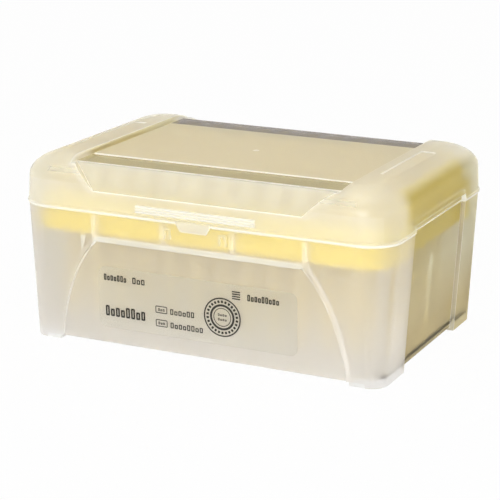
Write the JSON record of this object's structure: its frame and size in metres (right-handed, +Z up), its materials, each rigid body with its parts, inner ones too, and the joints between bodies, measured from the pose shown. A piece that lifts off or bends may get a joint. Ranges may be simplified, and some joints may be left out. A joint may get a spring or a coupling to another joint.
{
  "type": "pipette tip box",
  "caption": "Hinged rectangular box in clear plastic with a removable yellow tray that holds a grid of slender pipette tips.",
  "frame": {"origin": "on the surface it stands on, under the middle of the overall length and depth", "axes": "+X along the long side, +Y from the latch towards the hinge, +Z up"},
  "size_m": [0.1292, 0.0922, 0.0608],
  "materials": {
    "box_plastic": "translucent natural polypropylene, satin outside",
    "tray_plastic": "yellow polypropylene, satin",
    "tip_plastic": "natural polypropylene, smooth",
    "label_film": "clear film with a few dark printed bars"
  },
  "bodies": {
    "box": {"base": "box_plastic", "tray_frame": "tray_plastic", "tray_plate": "tray_plastic", "label": "label_film", "tips_row_A": "tip_plastic", "tips_row_B": "tip_plastic", "tips_row_C": "tip_plastic", "tips_row_D": "tip_plastic", "tip_E1": "tip_plastic", "tip_E2": "tip_plastic", "tip_E3": "tip_plastic", "tip_E4": "tip_plastic", "tip_E5": "tip_plastic", "tip_E6": "tip_plastic", "tip_E7": "tip_plastic", "tip_E8": "tip_plastic", "tip_E9": "tip_plastic", "tip_E10": "tip_plastic", "tip_E11": "tip_plastic", "tip_E12": "tip_plastic", "tip_F1": "tip_plastic", "tip_F2": "tip_plastic", "tip_F3": "tip_plastic", "tip_F4": "tip_plastic", "tip_F5": "tip_plastic", "tip_F6": "tip_plastic", "tip_F7": "tip_plastic", "tip_F8": "tip_plastic", "tip_F9": "tip_plastic", "tip_F10": "tip_plastic", "tip_F11": "tip_plastic", "tip_F12": "tip_plastic", "tip_G1": "tip_plastic", "tip_G2": "tip_plastic", "tip_G3": "tip_plastic", "tip_G4": "tip_plastic", "tip_G5": "tip_plastic", "tip_G6": "tip_plastic", "tip_G7": "tip_plastic", "tip_G8": "tip_plastic", "tip_G9": "tip_plastic", "tip_G10": "tip_plastic", "tip_G11": "tip_plastic", "tip_G12": "tip_plastic", "tip_H1": "tip_plastic", "tip_H2": "tip_plastic", "tip_H3": "tip_plastic", "tip_H4": "tip_plastic", "tip_H5": "tip_plastic", "tip_H6": "tip_plastic", "tip_H7": "tip_plastic", "tip_H8": "tip_plastic", "tip_H9": "tip_plastic", "tip_H10": "tip_plastic", "tip_H11": "tip_plastic", "tip_H12": "tip_plastic"},
    "lid": {"lid": "box_plastic"}
  },
  "joints": [
    {"name": "lid_hinge", "type": "hinge", "parent": "box", "child": "lid", "pos_m": [0, 0.04435, 0.0441], "axis": [-1, 0, 0], "range_deg": [0, 110]}
  ]
}
